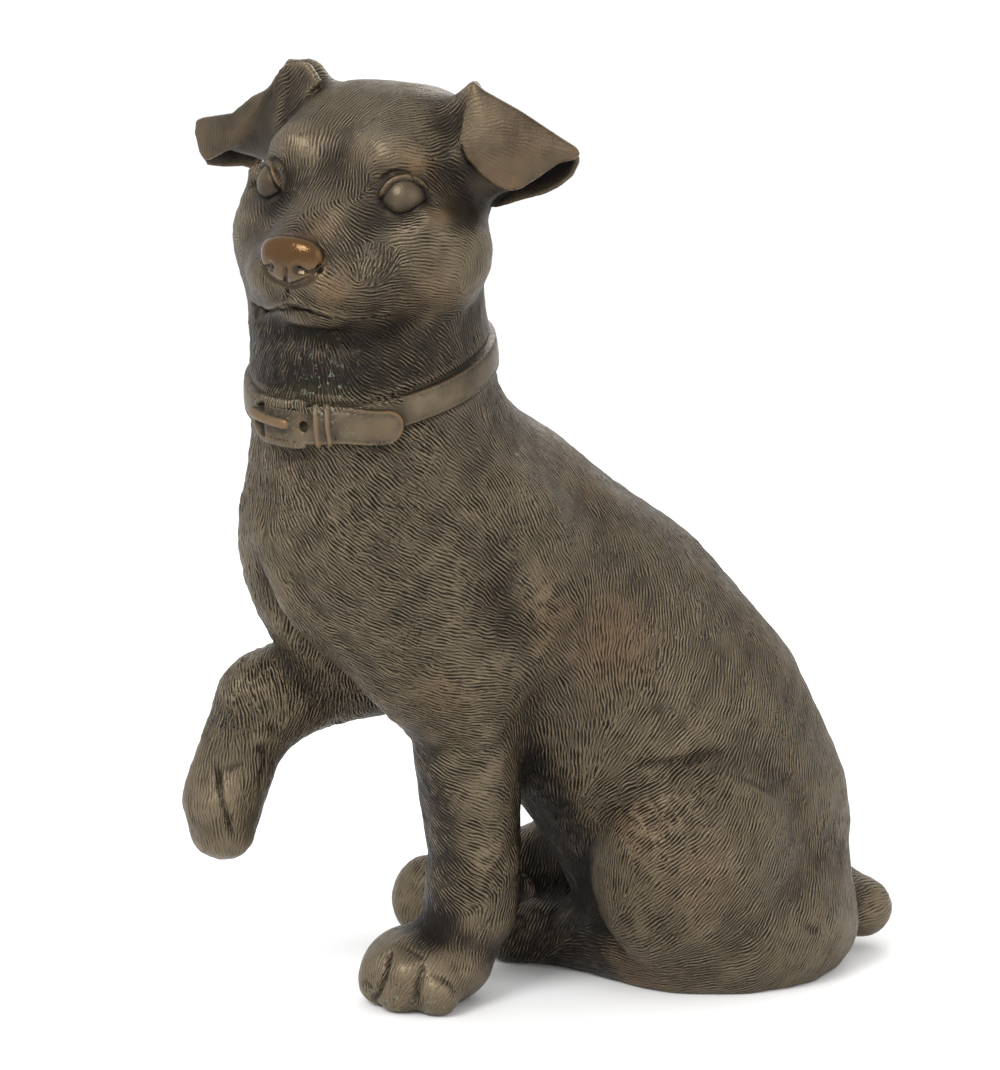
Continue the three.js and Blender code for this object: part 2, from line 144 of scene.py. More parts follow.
def relax(points, edges, weight, passes, swell=0.51):  # smooths, and swells back so that thin forms stay
    active = weight > 0.001
    edges = edges[active[edges[:, 0]] | active[edges[:, 1]]]
    used = np.unique(edges)
    back = np.zeros(len(points), np.int64)
    back[used] = np.arange(len(used))
    part, local, share = points[used], back[edges], weight[used][:, None]
    for _ in range(passes):
        part = part + (average(part, local) - part) * 0.5 * share
        if swell:
            part = part - (average(part, local) - part) * swell * share
    points = points.copy()
    points[used] = part
    return points


def smoothStep(low, high, value):
    t = np.clip((value - low) / (high - low), 0, 1)
    return t * t * (3 - 2 * t)


def alongLine(points, line):  # distance to a run of points, and how far along it the nearest place is
    best = np.full(len(points), np.inf)
    share = np.zeros(len(points))
    for i in range(len(line) - 1):
        a, b = line[i], line[i + 1]
        ab = b - a
        t = np.clip((points - a) @ ab / max(ab @ ab, 1e-12), 0, 1)
        d = np.linalg.norm(points - a - t[:, None] * ab, axis=1)
        nearer = d < best
        best[nearer] = d[nearer]
        share[nearer] = (i + t[nearer]) / (len(line) - 1)
    return best, share


def farFrom(points, spot):
    return np.linalg.norm(points - spot, axis=1)


def fromEither(local, spot):  # distance to the nearer of a place and its mirror image, in the head's frame
    x, y, z = spot
    return np.minimum(farFrom(local, (x, y, z)), farFrom(local, (-x, y, z)))


def bell(distance, width):  # 1 in the middle, falling off smoothly on both sides
    return np.exp(-((distance / width) ** 2))


def swell(points, normals, far, reach, height):  # a soft bump, or a hollow if below 0, in mm
    return points + normals * (height * bell(far, reach) * mm)[:, None]


def applyModifiers(piece):
    graph = bpy.context.evaluated_depsgraph_get()
    mesh = bpy.data.meshes.new_from_object(piece.evaluated_get(graph))
    piece.modifiers.clear()
    piece.data = mesh


def remesh(piece, size):
    modifier = piece.modifiers.new("remesh", "REMESH")
    modifier.mode = "VOXEL"
    modifier.voxel_size = size * mm
    applyModifiers(piece)


def editMesh(piece, change):
    form = bmesh.new()
    form.from_mesh(piece.data)
    change(form)
    form.to_mesh(piece.data)
    form.free()


def dropStrays(piece):  # keeps the one large shell and takes out bubbles left by the remesh
    edges = readEdges(piece.data)
    a, b = edges[:, 0], edges[:, 1]
    shell = np.arange(len(piece.data.vertices))
    while True:
        low = np.minimum(shell[a], shell[b])
        joined = shell.copy()
        np.minimum.at(joined, shell[a], low)
        np.minimum.at(joined, shell[b], low)
        joined = joined[joined]
        if np.array_equal(joined, shell):
            break
        shell = joined
    main = np.bincount(shell).argmax()
    form = bmesh.new()
    form.from_mesh(piece.data)
    form.verts.ensure_lookup_table()
    strays = [form.verts[int(i)] for i in np.flatnonzero(shell != main)]
    bmesh.ops.delete(form, geom=strays, context="VERTS")
    form.to_mesh(piece.data)
    form.free()
    print("  ", len(strays), "stray points taken out")


def newPiece(name, form):
    mesh = bpy.data.meshes.new(name)
    form.to_mesh(mesh)
    form.free()
    piece = bpy.data.objects.new(name, mesh)
    bpy.context.scene.collection.objects.link(piece)
    return piece


# the cast figure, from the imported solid
figure = {
    "mergeWithin": 0.02, "firstCell": 1.6, "fineCell": 0.8, "quickCell": 1.1,  # mm
    "triangles": 196000,
    "headAbove": 0.262, "earsAbove": 0.27,  # m over the ground
    "passes": {"facets": 12, "collar": 90, "nose": 60, "eyes": 25, "ears": 260, "fine": 4},  # of smoothing
}
fineCell = figure["fineCell"]
passes = figure["passes"]

print("copying the cast form")
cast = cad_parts["terrier"].copy()
cast.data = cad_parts["terrier"].data.copy()
for key in list(cast.keys()):
    del cast[key]
cast.parent = None
cast.name = "castTerrier"
bpy.context.scene.collection.objects.link(cast)
editMesh(cast, lambda form: bmesh.ops.remove_doubles(form, verts=form.verts, dist=figure["mergeWithin"] * mm))
cast.data.materials.clear()

print("smoothing the facets")
remesh(cast, figure["firstCell"])
points = readPoints(cast.data)
edges = readEdges(cast.data)

neck = {"axis": place(0, -60, 268), "up": Vector((0.187, -0.281, 1)).normalized(), "radius": 52.0}


def roundNeck(points):  # angle round the neck from its front, distance along the strap and across it, in mm
    d = (points - np.array(neck["axis"])) / mm
    angle = np.degrees(np.arctan2(d[:, 0], -d[:, 1]))
    return angle, np.radians(angle) * neck["radius"], d @ np.array(neck["up"]), np.hypot(d[:, 0], d[:, 1])


def headPoints(points):  # points in the head's own frame
    return (points - np.array(headAt)) @ np.array(headTurn) / mm


def partOfHead(points, local):
    return (points[:, 2] > figure["headAbove"]) & (np.abs(local[:, 2]) < 75)


points = relax(points, edges, np.ones(len(points)), passes["facets"])
angle, along, across, reach = roundNeck(points)
local = headPoints(points)
collarBand = (1 - smoothStep(9, 14, np.abs(across))) * (reach < 75)
noseKnob = 1 - smoothStep(14, 20, farFrom(local, (0, -66, -21)))
eyeRings = 1 - smoothStep(13, 18, fromEither(local, (30, -31, 4)))
points = relax(points, edges, collarBand, passes["collar"], 0)
points = relax(points, edges, noseKnob, passes["nose"], 0)
points = relax(points, edges, eyeRings, passes["eyes"], 0)
ears = smoothStep(44, 54, np.abs(local[:, 0])) * (local[:, 2] > -8) * (points[:, 2] > figure["earsAbove"])
points = relax(points, edges, ears, passes["ears"], 0)
writePoints(cast.data, points)

# forms added before the fine skin: eyes, lids, nose and ear flaps
print("modelling the face")


def addEgg(name, centre, radii):
    form = bmesh.new()
    bmesh.ops.create_icosphere(form, subdivisions=5, radius=1)
    bmesh.ops.scale(form, vec=Vector(radii) * mm, verts=form.verts)
    bmesh.ops.translate(form, vec=centre, verts=form.verts)
    return newPiece(name, form)


def addCord(name, line, radii):  # a round cord along a smooth line, its radius in mm at each point
    curve = bpy.data.curves.new(name, "CURVE")
    curve.dimensions = "3D"
    curve.bevel_depth = mm
    curve.bevel_resolution = 4
    curve.use_fill_caps = True
    spline = curve.splines.new("BEZIER")
    spline.bezier_points.add(len(line) - 1)
    for knot, p, r in zip(spline.bezier_points, line, radii):
        knot.co = p
        knot.radius = r
        knot.handle_left_type = knot.handle_right_type = "AUTO"
    piece = bpy.data.objects.new(name, curve)
    bpy.context.scene.collection.objects.link(piece)
    graph = bpy.context.evaluated_depsgraph_get()
    mesh = bpy.data.meshes.new_from_object(piece.evaluated_get(graph))
    bpy.data.objects.remove(piece)
    piece = bpy.data.objects.new(name, mesh)
    bpy.context.scene.collection.objects.link(piece)
    return piece


eye = {
    "centre": (30.2, -28.5, 4.5), "radius": 9.5, "facing": (0.53, -0.83, 0.19),  # in the head's frame, mm
    "lidRim": {"upper": 1.25, "lower": 0.85}, "lidProud": {"upper": 0.35, "lower": 0.1},
    "opening": 1.6, "swelling": 0.5,  # how deep the opening is sunk, and how proud the skin round it
    "pixelsPerMm": 2.4,
    "upper": [
        (380, 204), (384, 190), (392, 181.5), (403, 177.5), (415, 179.5), (425, 188), (430, 198), (437, 206),
    ],
    "lower": [(380, 205), (385, 210), (393, 215), (403, 217), (414, 214.5), (424, 207.5), (431, 201)],
}


def outOfShape(spots, outline):  # signed distance from a closed outline in the picture, in mm, inside below 0
    ring = [np.array(p, float) for p in outline]
    far = alongLine(spots, ring + ring[:1])[0] / eye["pixelsPerMm"]
    inside = np.zeros(len(spots), bool)
    for a, b in zip(ring, ring[1:] + ring[:1]):
        crosses = (a[1] > spots[:, 1]) != (b[1] > spots[:, 1])
        drop = b[1] - a[1] if b[1] != a[1] else tiny
        at = a[0] + (spots[:, 1] - a[1]) / drop * (b[0] - a[0])
        inside ^= crosses & (spots[:, 0] < at)
    return np.where(inside, -far, far)


def eyeOpening(points, side):  # from an eyeball: vectors, lengths, how much in front, mm out of its lids
    x, y, z = eye["centre"]
    out = headPoints(points) - np.array((side * x, y, z))
    local = headPoints(points) * np.array((side, 1, 1))
    placed = local @ np.array(headTurn).T * mm + np.array(headAt)
    shape = eye["upper"] + eye["lower"][::-1][:-1]
    reach = np.linalg.norm(out, axis=1)
    facing = (out * np.array((side, 1, 1))) @ np.array(eye["facing"]) / np.maximum(reach, tiny)
    return out, reach, facing, outOfShape(inPicture(placed), shape)


print("opening the lids")
points = readPoints(cast.data)
normals = readNormals(cast.data)
local = headPoints(points)
temples = [  # head place, reach and height in mm: fuller beside the eyes, so that the eyes lie in them
    ((43, -27, -3), 8, 4.0), ((-42, -25, 4), 10, 7.5),
    ((33, -34, -10), 8, 2.0), ((-33, -34, -10), 8, 2.0),
]
for at, size, height in temples:
    points = swell(points, normals, farFrom(local, at), size, height)
for side in (1, -1):
    out, reach, facing, gap = eyeOpening(points, side)
    wanted = eye["radius"] + np.where(gap < 0.4, -eye["opening"], eye["swelling"])
    share = (1 - smoothStep(1.5, 6.5, gap)) * smoothStep(0.0, 0.3, facing) * (reach < 22)
    move = out / np.maximum(reach, tiny)[:, None] * ((wanted - reach) * share)[:, None]
    points = points + move @ np.array(headTurn).T * mm
writePoints(cast.data, points)


def onEye(px, py, proud):  # on the near eyeball where the sight line meets it, else on the skin beside it
    centre = onHead(*eye["centre"])
    radius = (eye["radius"] + proud) * mm
    ray = sightLine(px, py)
    toCentre = centre - eyePoint
    side = (toCentre - ray * toCentre.dot(ray)).length
    if side < radius * 0.97:
        return eyePoint + ray * (toCentre.dot(ray) - (radius**2 - side**2) ** 0.5)
    near = eyePoint + ray * toCentre.dot(ray)
    return centre + (near - centre).normalized() * max(radius, side * 0.98)


added = []
for side in (1, -1):
    x, y, z = eye["centre"]
    added.append(addEgg("eyeball", onHead(side * x, y, z), (eye["radius"],) * 3))
    for lid in ("upper", "lower"):
        line = [onEye(px, py, eye["lidProud"][lid]) for px, py in eye[lid]]
        if side < 0:
            line = [mirrorHead(p) for p in line]
        thinning = [0.5] + [1] * (len(line) - 2) + [0.35]
        added.append(addCord("eyelid", line, [eye["lidRim"][lid] * t for t in thinning]))

nose = {
    "centre": (0, -60.0, -21.2), "radii": (14.3, 6.6, 9.9),  # in the head's frame, mm
    "squarer": 0.86, "broader": 0.16, "fuller": 0.22,  # than an egg: its corners, and its upper half
}
pad = addEgg("nosePad", Vector(), (1 / mm,) * 3)
for vertex in pad.data.vertices:
    x, y, z = vertex.co
    x, z = (abs(k) ** nose["squarer"] * (1 if k > 0 else -1) for k in (x, z))
    x *= 1 + nose["broader"] * z
    y -= nose["fuller"] * z * abs(z)
    across, deep, high = nose["radii"]
    middleX, middleY, middleZ = nose["centre"]
    vertex.co = onHead(middleX + x * across, middleY + y * deep, middleZ + z * high)
added.append(pad)

ear = {"thick": 3.6, "cell": 1.0, "crownReach": 14}  # mm
earPlates = {  # plane through three head places, height of the crown in mm, outline in the photograph
    "leftEarFlap": ([(46, -9, 51), (60, -8, 4), (87, 6, 24)], 2.0, [
        (473, 80), (484, 90), (523, 112), (562, 138), (577, 147.5), (580.5, 154), (574, 160), (559, 163),
        (537, 178.5), (520, 189), (509, 191), (495.6, 187), (478.9, 174), (465, 157.2), (459.5, 140.6),
        (463, 118.3), (468, 97),
    ]),
    "leftEarBack": ([(46, 1, 51), (55, 10, 2), (87, 15, 20)], -3.0, [
        (484, 92), (523, 115), (562, 141), (577, 150), (579.5, 162), (573, 176), (560, 186.5), (545, 194),
        (523, 199.5), (506, 205), (494, 208), (478, 195), (470, 160), (472, 120),
    ]),
    "rightEarFlap": ([(-46, -7, 47), (-54, -9, 12), (-89, -3, 14)], 1.5, [
        (285, 68), (277, 76), (271, 88), (254, 96), (234, 113), (206, 117), (198, 120), (196.5, 132),
        (201, 152), (207, 161), (222, 153), (241, 144), (257, 135), (268, 118), (276, 96), (286, 76),
    ]),
    "rightEarBack": ([(-46, 3, 47), (-54, 4, 12), (-89, 4, 14)], -2.0, [
        (277, 80), (254, 100), (234, 116), (204, 120), (198, 135), (202, 155), (209, 165), (224, 167),
        (243, 166), (256, 170), (268, 150), (282, 110),
    ]),
    "rightEarLobe": ([(-46, -8, 47), (-30, -9, 47), (-40, -12, 20)], -1.5, [
        (276, 80), (281, 70), (288, 64), (300, 62), (309, 63), (315, 72), (321, 82), (312, 92), (300, 108),
        (284, 125), (272, 125),
    ]),
}


def addPlate(name, plane, crown, outline):  # an ear flap: a plate with that outline, crowned
    a, b, c = (onHead(*p) for p in plane)
    normal = (b - a).cross(c - a).normalized()
    if normal.dot(eyePoint - a) < 0:
        normal = -normal
    corners = [onPlane(px, py, a, normal) for px, py in outline]
    form = bmesh.new()
    face = form.faces.new([form.verts.new(p - normal * ear["thick"] * mm * 0.5) for p in corners])
    grown = bmesh.ops.extrude_face_region(form, geom=[face])["geom"]
    front = [g for g in grown if isinstance(g, bmesh.types.BMVert)]
    bmesh.ops.translate(form, vec=normal * ear["thick"] * mm, verts=front)
    bmesh.ops.recalc_face_normals(form, faces=form.faces)
    piece = newPiece(name, form)
    remesh(piece, ear["cell"])
    shape = readPoints(piece.data)
    shape = relax(shape, readEdges(piece.data), np.ones(len(shape)), 3)
    loop = [np.array(p) for p in corners + corners[:1]]
    flat = shape - np.outer((shape - loop[0]) @ np.array(normal), normal)
    edge = alongLine(flat, loop)[0] / mm
    dome = crown * (1 - (1 - np.clip(edge / ear["crownReach"], 0, 1)) ** 2)
    shape += np.outer(dome * mm, np.array(normal))
    writePoints(piece.data, shape)
    return piece


for name, plate in earPlates.items():
    added.append(addPlate(name, *plate))

print("joining them with the cast form")
editMesh(cast, lambda form: [form.from_mesh(piece.data) for piece in added])
for piece in added:
    bpy.data.objects.remove(piece)
remesh(cast, fineCell)
dropStrays(cast)
points = readPoints(cast.data)
edges = readEdges(cast.data)
print("  ", len(points), "points")
points = relax(points, edges, np.ones(len(points)), passes["fine"])
points[:, 2] = np.maximum(points[:, 2], 0)
writePoints(cast.data, points)


def buildTree(mesh):
    return BVHTree.FromPolygons([v.co for v in mesh.vertices], [tuple(p.vertices) for p in mesh.polygons])


print("carving the mouth, lids and nostrils")
skin = buildTree(cast.data)


def seenLine(line):  # a run of picture points laid on the skin, a point every 2 px
    spots = []
    for (ax, ay), (bx, by) in zip(line, line[1:]):
        steps = max(1, int(((bx - ax) ** 2 + (by - ay) ** 2) ** 0.5 / 2))
        spots += [(ax + (bx - ax) * i / steps, ay + (by - ay) * i / steps) for i in range(steps)]
    spots.append(line[-1])
    hits = [skin.ray_cast(eyePoint, sightLine(px, py))[0] for px, py in spots]
    return [np.array(h) for h in hits if h is not None]


def mirrored(line):  # the same line on the far side of the head
    return [np.array(skin.find_nearest(mirrorHead(Vector(p)))[0]) for p in line]


def cutLine(points, normals, line, width, depth, taper):  # a groove in mm, fading over taper at both ends
    if len(line) < 2:
        return points
    margin = 20 * mm  # no groove reaches further
    low = np.min(line, axis=0) - margin
    high = np.max(line, axis=0) + margin
    near = np.flatnonzero(np.all((points > low) & (points < high), axis=1))
    far, share = alongLine(points[near], line)
    far = far / mm
    fade = np.minimum(smoothStep(0, taper, share), 1 - smoothStep(1 - taper, 1, share))
    push = -depth * bell(far, width)
    points[near] += normals[near] * (push * fade * mm)[:, None]
    return points


def refine(piece, chosen):  # the mesh is finer where the smallest forms are
    form = bmesh.new()
    form.from_mesh(piece.data)
    form.verts.ensure_lookup_table()
    picked = [e for e in form.edges if chosen[e.verts[0].index] and chosen[e.verts[1].index]]
    bmesh.ops.subdivide_edges(form, edges=picked, cuts=1, use_grid_fill=True)
    bmesh.ops.triangulate(form, faces=[f for f in form.faces if len(f.verts) > 4])
    form.to_mesh(piece.data)
    form.free()


local = headPoints(points)
angle, along, across, reach = roundNeck(points)
eyeMiddle = (30.2, -30, 5)
aroundEyes = fromEither(local, eyeMiddle) < 18
muzzleFront = (local[:, 1] < -34) & (local[:, 2] < -8) & (local[:, 2] > -58)
frontOfCollar = (np.abs(across) < 11) & (reach < 75) & (np.abs(angle) < 150)
refine(cast, aroundEyes | muzzleFront | frontOfCollar)
points = readPoints(cast.data)
edges = readEdges(cast.data)
normals = readNormals(cast.data)
local = headPoints(points)
print("  ", len(points), "points")

mouth = {  # picture points, then mm
    "near": [
        (287, 306.7), (296, 307.8), (303, 310.5), (311, 314), (320, 317.3), (333, 320), (345.5, 321),
        (358, 320.5), (370.5, 319.2), (383, 317.6), (398, 316),
    ],
    "width": 1.0, "depth": 2.2, "lowerLip": 1.7,
    "upperLip": 0.6, "upperLipAt": 2.2, "upperLipWidth": 1.8,
}
nearMouth = seenLine(mouth["near"])
farMouth = mirrored(nearMouth)
headUp = np.array(headTurn @ Vector((0, 0, 1)))
inJaw = (local[:, 1] < -18) & (local[:, 2] < -20) & (local[:, 2] > -66) & (np.abs(local[:, 0]) < 50)
jaw = np.flatnonzero(inJaw)
for line in (nearMouth, farMouth):
    far, share = alongLine(points[jaw], line)
    far = far / mm
    nearest = np.array(line)[np.clip((share * (len(line) - 1)).round().astype(int), 0, len(line) - 1)]
    height = (points[jaw] - nearest) @ headUp / mm
    fade = 1 - smoothStep(0.88, 1, share)
    below = 1 - smoothStep(-0.9, 0.5, height)
    sink = mouth["lowerLip"] * below * (1 - smoothStep(2, 9, far)) * fade
    lip = bell(far - mouth["upperLipAt"], mouth["upperLipWidth"])
    fuller = mouth["upperLip"] * (1 - below) * lip * fade
    cut = mouth["depth"] * bell(far, mouth["width"]) * fade
    points[jaw] += normals[jaw] * ((fuller - sink - cut) * mm)[:, None]

faceGrooves = [  # picture points, width and depth in mm, taper; the first two lie on the muzzle's middle
    ([(286.5, 288), (287.5, 296), (288.7, 303)], 0.9, 1.2, 0.1),
    ([(284.8, 266), (285.3, 276), (285.8, 286.4)], 0.75, 1.1, 0.15),
    ([(263.5, 270.5), (272, 280), (286, 287.2), (299, 283), (311, 277), (321, 269.5)], 0.8, 1.1, 0.1),
    ([(300, 271), (309.4, 274.2), (319.2, 270.2), (320.8, 264)], 1.0, 2.0, 0.12),
    ([(376, 185), (383.5, 177), (391, 172.4), (399, 171.4), (409, 173.6), (419, 179.5), (426, 187),
      (431, 196), (436.5, 206)], 0.75, 1.0, 0.15),
    ([(424, 199), (430, 202), (437, 207)], 0.8, 0.9, 0.1),
]
for line, width, depth, taper in faceGrooves:
    points = cutLine(points, normals, seenLine(line), width, depth, taper)
for line, width, depth, taper in faceGrooves[2:]:
    points = cutLine(points, normals, mirrored(seenLine(line)), width, depth, taper)
nostril = np.array(seenLine([(269.5, 267), (271, 268.5)])[0])
for spot in (nostril, np.array(skin.find_nearest(mirrorHead(Vector(nostril)))[0])):
    points = swell(points, normals, farFrom(points, spot) / mm, 1.9, -2.4)

bumps = [  # head place, reach and height in mm: brows, below the eyes' outer corners, beside the muzzle
    ((23, -33.5, 24), 7, 1.6), ((36, -25.5, 19), 6, 1.2),
    ((44.5, -26, -2), 4.5, 1.3), ((15, -47, -30), 8, 1.0),
]
for (x, y, z), size, height in bumps:
    for side in (1, -1):
        points = swell(points, normals, farFrom(local, (side * x, y, z)), size, height)

# crisp lids: the ball stays round inside them
for side in (1, -1):
    out, reach, facing, gap = eyeOpening(points, side)
    ball = (gap < -0.15) & (reach < 14) & (facing > 0.2)
    wanted = np.where(ball, eye["radius"], reach)
    wanted = wanted - np.where(reach < 14, 1.2, 0) * bell(gap - 0.1, 0.5) * (facing > 0.2)
    move = out / np.maximum(reach, tiny)[:, None] * (wanted - reach)[:, None]
    points += move @ np.array(headTurn).T * mm

# the collar, as heights over the neck in mm
print("carving the collar")
collar = {  # mm, and degrees round the neck from its front
    "strapHalf": 5.6, "strapHeight": 2.0, "soft": 0.45, "stitch": 2.3,
    "tongueHalf": 6.5, "tongueHeight": 1.7, "tongueDrop": 4.6, "tongueEnd": 78.0, "tongueRound": 5.5,
    "holeAt": 36.8, "holeDepth": 2.4,
    "keeperAt": (42.6, 47.4), "keeperHalf": 7.6, "keeperWire": 1.15,
    "buckleAt": 24.5, "buckleLong": 15.0, "buckleHalf": 8.2, "buckleInset": 1.2, "corner": 6.2, "wire": 1.5,
    "prongAt": 19.0, "prongHalf": 9.0, "prongWire": 1.9,
}


def stitched(distance, gap):  # 1 along a stitch, and the gap's share between two
    return gap + (1 - gap) * (np.cos(2 * pi * distance / collar["stitch"]) > -0.2)


def roundBack(distance, radius):  # height of a wire's back over its middle line
    return np.sqrt(np.maximum(radius**2 - distance**2, 0))


writePoints(cast.data, points)
normals = readNormals(cast.data)
angle, along, across, reach = roundNeck(points)
onNeck = (reach < 78) & (np.abs(across) < 20) & (points[:, 2] > 0.2)
perDegree = neck["radius"] * pi / 180
half = collar["strapHalf"]
strap = 1 - smoothStep(half - collar["soft"], half + collar["soft"], np.abs(across))
height = collar["strapHeight"] * strap
height -= 0.7 * bell(np.abs(across) - half - 1.2, 0.9)
height -= 0.38 * bell(np.abs(across) - half + 1.25, 0.42) * stitched(along, 0.35) * strap
# the tongue lies on the strap from the buckle on and hangs a little below it at its tip
side = across + collar["tongueDrop"] * smoothStep(46, collar["tongueEnd"], angle)
tip = (collar["tongueEnd"] - angle) * perDegree
rounded = np.hypot(np.maximum(collar["tongueRound"] - tip, 0), np.abs(side))
edgeOut = collar["tongueHalf"] - np.where(tip < collar["tongueRound"], rounded, np.abs(side))
tongue = smoothStep(-0.4, 0.4, edgeOut) * smoothStep(14, 16, angle) * (angle < collar["tongueEnd"] + 4)
base = collar["strapHeight"] + collar["tongueHeight"]
top = base + 0.35 * bell(edgeOut - 0.7, 0.55)
top -= 0.35 * bell(edgeOut - 1.8, 0.4) * stitched(along + side, 0.3) * (angle > 50)
height = height * (1 - tongue) + top * tongue
hole = np.hypot((angle - collar["holeAt"]) * perDegree, side)
height -= collar["holeDepth"] * (1 - smoothStep(1.3, 2.0, hole)) * onNeck
for at in collar["keeperAt"]:
    distance = np.abs((angle - at) * perDegree + 0.08 * side)
    fromMiddle = np.abs(side + 0.2)
    bar = (distance < collar["keeperWire"]) & (fromMiddle < collar["keeperHalf"])
    rim = np.minimum(1, np.maximum(0, (collar["keeperHalf"] - fromMiddle) / 0.8)) ** 0.5
    top = (base + 0.2 + roundBack(distance, collar["keeperWire"]) * 0.9) * rim
    height = np.where(bar, np.maximum(height, top), height)
# the buckle's frame: a round-cornered ring of wire, open towards the tongue
u = (angle - collar["buckleAt"]) * perDegree
v = across + 0.1
pastX = np.abs(u) - (collar["buckleLong"] - collar["corner"])
pastY = np.abs(v) - (collar["buckleHalf"] - collar["buckleInset"] - collar["corner"])
ring = np.hypot(np.maximum(pastX, 0), np.maximum(pastY, 0)) + np.minimum(np.maximum(pastX, pastY), 0)
ring -= collar["corner"]
closed = u <= 11.5
distance = np.abs(ring)
wire = (distance < collar["wire"]) & closed
height = np.where(wire, np.maximum(height, 2.6 + roundBack(distance, collar["wire"])), height)
height = np.where((ring < -collar["wire"]) & closed & (np.abs(v) > 5.4), 0.4, height)
# the prong, over the frame's left side
past = np.maximum(np.abs((angle - collar["prongAt"]) * perDegree) - collar["prongHalf"], 0)
distance = np.hypot(past, v - 0.8 + 0.06 * u)
prong = distance < collar["prongWire"]
top = base + 0.9 + roundBack(distance, collar["prongWire"]) * 0.9
height = np.where(prong, np.maximum(height, top), height)
points += normals * (height * onNeck * mm)[:, None]
collarPart = onNeck & ((strap > 0.3) | (tongue > 0.3) | wire | prong)
writePoints(cast.data, points)
points = relax(points, edges, collarPart * 0.5, 1)

# creases of the body, paws and haunch, laid along lines seen in the photograph
print("carving the paws and folds")
skin = buildTree(cast.data)
normals = readNormals(cast.data)
bodyLines = [  # picture points, width and depth in mm, taper
    ([(250, 324), (265, 330), (281.7, 335), (308, 339), (334, 340.5), (368, 338), (401, 328), (430, 322)],
     4.5, 3.2, 0.2),
    ([(391, 949), (387, 970), (380, 988), (372, 1004)], 1.3, 2.6, 0.15),
    ([(425, 963), (418, 985), (415, 1006)], 1.5, 2.0, 0.2),
    ([(398, 951), (406, 948), (420, 956), (424, 964)], 1.5, 0.9, 0.3),
    ([(428, 972), (438, 976), (452, 984), (458, 998)], 1.6, 0.8, 0.3),
    ([(361, 984), (366, 983), (371, 987), (370, 993)], 1.0, 1.1, 0.3),
    ([(214, 760), (218, 778), (222, 800), (231, 828), (234, 842)], 1.2, 1.7, 0.2),
    ([(191, 782), (189, 805), (196, 830)], 1.3, 0.7, 0.3),
    ([(224, 771), (236, 767), (247, 762)], 0.9, 0.8, 0.3),
    ([(256, 740), (263, 750), (265, 760), (262, 775), (258, 790)], 1.5, 1.3, 0.25),
    ([(624, 784), (634, 773), (643, 766), (664, 763), (685, 761), (702, 756), (716, 752), (739, 751)],
     2.2, 1.8, 0.3),
    ([(735, 774), (747, 779), (758, 784), (778, 795)], 2.0, 1.2, 0.3),
    ([(248, 549), (268, 553), (289, 569), (309, 599), (345, 643), (380, 684), (398, 713)], 4.0, 1.0, 0.3),
    ([(268, 724), (277, 731), (284, 740)], 1.6, 1.0, 0.3),
    ([(803, 923), (812, 930), (822, 932)], 1.5, 1.0, 0.3),
    ([(590, 905), (604, 930), (618, 950), (640, 968)], 4.0, 1.3, 0.35),
]
for line, width, depth, taper in bodyLines:
    points = cutLine(points, normals, seenLine(line), width, depth, taper)
bodyBumps = [  # picture point, reach and height in mm
    ((366, 966), 6.5, 1.0), ((404, 972), 6.5, 1.6), ((441, 988), 7.5, 1.2), ((529, 890), 6.0, 1.6),
    ((234, 795), 8.0, 1.2), ((258, 737), 5.0, 1.3), ((205, 812), 8.0, 0.7), ((482, 800), 7.0, 0.8),
    ((484, 740), 7.0, 0.8), ((486, 860), 7.0, 0.8), ((672, 800), 16.0, 1.0), ((300, 702), 7.0, 0.8),
]
for (px, py), size, height in bodyBumps:
    spot = skin.ray_cast(eyePoint, sightLine(px, py))[0]
    if spot is not None:
        points = swell(points, normals, farFrom(points, np.array(spot)) / mm, size, height)
hiddenLines = [  # toes of the far hind paw, plainer: sculptor's points near the skin, laid on it
    ([(-33, -47, 20), (-34, -53, 12), (-34, -56, 3)], 1.4, 1.8, 0.2),
    ([(-45, -45, 20), (-47, -51, 12), (-48, -53, 3)], 1.4, 1.8, 0.2),
]
for line, width, depth, taper in hiddenLines:
    laid = [np.array(skin.find_nearest(place(*p))[0]) for p in line]
    points = cutLine(points, normals, laid, width, depth, taper)
points[:, 2] = np.maximum(points[:, 2], 0)
writePoints(cast.data, points)

